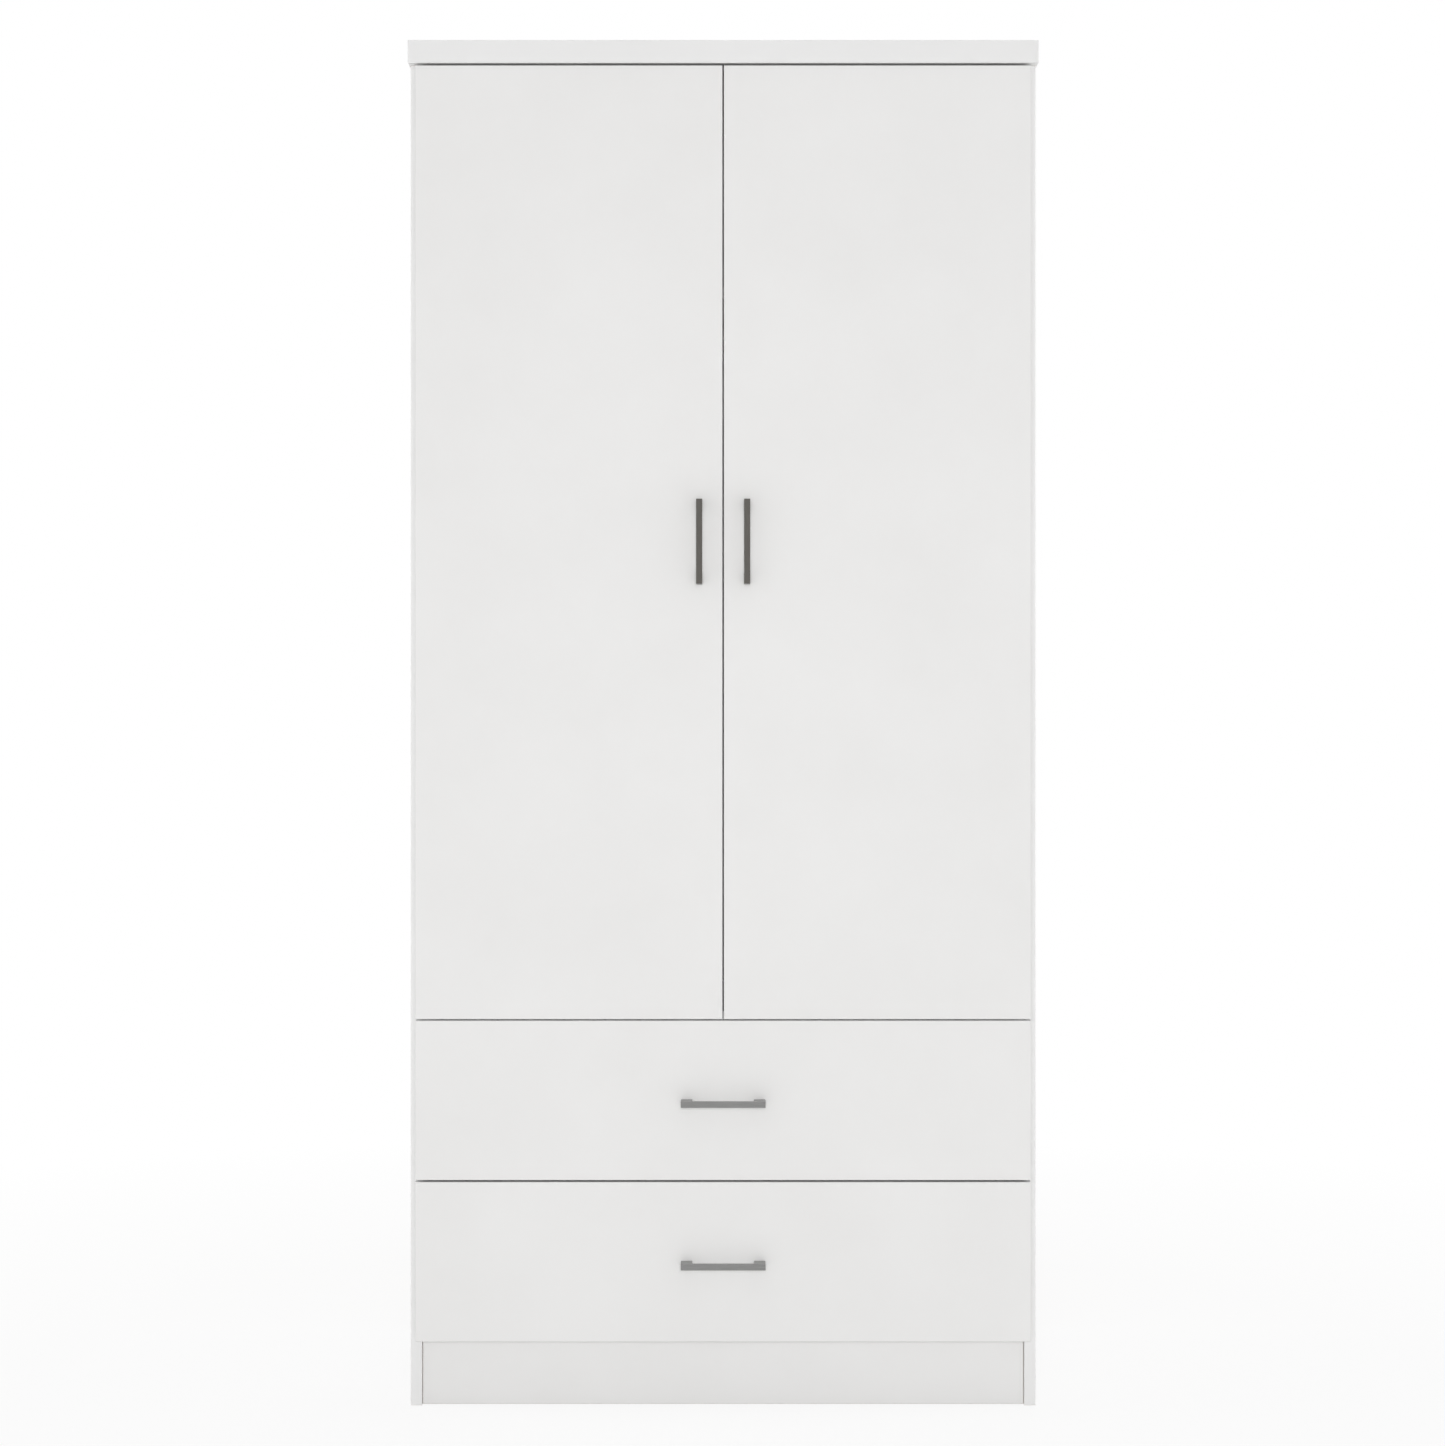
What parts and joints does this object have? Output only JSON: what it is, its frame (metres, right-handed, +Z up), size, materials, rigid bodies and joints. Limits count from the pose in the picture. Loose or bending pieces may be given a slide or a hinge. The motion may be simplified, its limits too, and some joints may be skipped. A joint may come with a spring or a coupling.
{
  "type": "wardrobe",
  "caption": "Tall white wardrobe with hinged doors over drawers, bar handles, a plinth and a thick top; a hanging rail and a hat shelf inside.",
  "frame": {"origin": "on the floor, in the middle of the width and of the depth with the handles counted in", "axes": "+X to the right seen from the front, +Y from the front to the back, +Z up; the doors and drawers face -Y"},
  "size_m": [0.83, 0.525, 1.8],
  "materials": {
    "white_board": "satin white melamine on chipboard",
    "white_drawer_board": "plain white foil on chipboard",
    "hardboard": "hardboard, painted white on one face",
    "zinc_steel": "bright zinc plate",
    "zinc_casting": "dull zinc",
    "nylon": "white nylon",
    "coated_steel": "white epoxy coat",
    "satin_metal": "satin grey",
    "chrome_tube": "polished",
    "chrome_casting": "polished",
    "beech": "bare beech",
    "soft_pad": "clear soft plastic",
    "white_plastic": "matt white"
  },
  "bodies": {
    "carcass": {"left_side_panel": "white_board", "right_side_panel": "white_board", "top_panel": "white_board", "middle_deck": "white_board", "bottom_panel": "white_board", "plinth": "white_board", "rear_plinth_rail": "white_board", "hat_shelf": "white_board", "upper_back_left": "hardboard", "upper_back_right": "hardboard", "back_joiner": "white_plastic", "lower_back": "hardboard", "hanging_rail": "chrome_tube", "rail_sockets": "chrome_casting", "shelf_pins": "white_plastic", "cam_locks": "zinc_casting", "cam_bolts": "zinc_steel", "dowels": "beech", "back_nails": "zinc_steel", "wall_brackets": "zinc_steel", "carcass_screws": "zinc_steel", "bumpers": "soft_pad", "hinge_arms": "zinc_steel", "hinge_plates": "zinc_steel", "upper_cabinet_runners": "coated_steel", "lower_cabinet_runners": "coated_steel"},
    "left_door": {"left_door": "white_board", "left_door_handle": "satin_metal", "left_door_handle_screws": "zinc_steel", "left_hinge_cups": "zinc_steel", "left_hinge_pins": "zinc_steel"},
    "right_door": {"right_door": "white_board", "right_door_handle": "satin_metal", "right_door_handle_screws": "zinc_steel", "right_hinge_cups": "zinc_steel", "right_hinge_pins": "zinc_steel"},
    "upper_drawer": {"upper_drawer_front": "white_board", "upper_drawer_left_side": "white_drawer_board", "upper_drawer_right_side": "white_drawer_board", "upper_drawer_back": "white_drawer_board", "upper_drawer_bottom": "hardboard", "upper_drawer_handle": "satin_metal", "upper_drawer_handle_screws": "zinc_steel", "upper_drawer_slides": "coated_steel", "upper_drawer_fixings": "zinc_casting"},
    "lower_drawer": {"lower_drawer_front": "white_board", "lower_drawer_left_side": "white_drawer_board", "lower_drawer_right_side": "white_drawer_board", "lower_drawer_back": "white_drawer_board", "lower_drawer_bottom": "hardboard", "lower_drawer_handle": "satin_metal", "lower_drawer_handle_screws": "zinc_steel", "lower_drawer_slides": "coated_steel", "lower_drawer_fixings": "zinc_casting"},
    "upper_front_rollers": {"upper_front_rollers": "nylon"},
    "upper_rear_rollers": {"upper_rear_rollers": "nylon"},
    "lower_front_rollers": {"lower_front_rollers": "nylon"},
    "lower_rear_rollers": {"lower_rear_rollers": "nylon"}
  },
  "joints": [
    {"name": "left_door_hinge", "type": "hinge", "parent": "carcass", "child": "left_door", "pos_m": [-0.3989, -0.2293, 1.1394], "axis": [0, 0, -1], "range_deg": [0, 95]},
    {"name": "right_door_hinge", "type": "hinge", "parent": "carcass", "child": "right_door", "pos_m": [0.3989, -0.2293, 1.1394], "axis": [0, 0, 1], "range_deg": [0, 95]},
    {"name": "upper_drawer_slide", "type": "slide", "parent": "carcass", "child": "upper_drawer", "axis": [0, -1, 0], "range_m": [0, 0.3]},
    {"name": "upper_front_roller_spin", "type": "hinge", "parent": "carcass", "child": "upper_front_rollers", "pos_m": [0, -0.2025, 0.3437], "axis": [1, 0, 0], "continuous": true},
    {"name": "upper_rear_roller_spin", "type": "hinge", "parent": "upper_drawer", "child": "upper_rear_rollers", "pos_m": [0, 0.1745, 0.3405], "axis": [1, 0, 0], "continuous": true},
    {"name": "lower_drawer_slide", "type": "slide", "parent": "carcass", "child": "lower_drawer", "axis": [0, -1, 0], "range_m": [0, 0.3]},
    {"name": "lower_front_roller_spin", "type": "hinge", "parent": "carcass", "child": "lower_front_rollers", "pos_m": [0, -0.2025, 0.1312], "axis": [1, 0, 0], "continuous": true},
    {"name": "lower_rear_roller_spin", "type": "hinge", "parent": "lower_drawer", "child": "lower_rear_rollers", "pos_m": [0, 0.1745, 0.128], "axis": [1, 0, 0], "continuous": true}
  ],
  "couplings": [
    {"joint": "upper_front_roller_spin", "follows": "upper_drawer_slide", "rad_per_m": 111.11},
    {"joint": "upper_rear_roller_spin", "follows": "upper_drawer_slide", "rad_per_m": 111.11},
    {"joint": "lower_front_roller_spin", "follows": "lower_drawer_slide", "rad_per_m": 111.11},
    {"joint": "lower_rear_roller_spin", "follows": "lower_drawer_slide", "rad_per_m": 111.11}
  ]
}
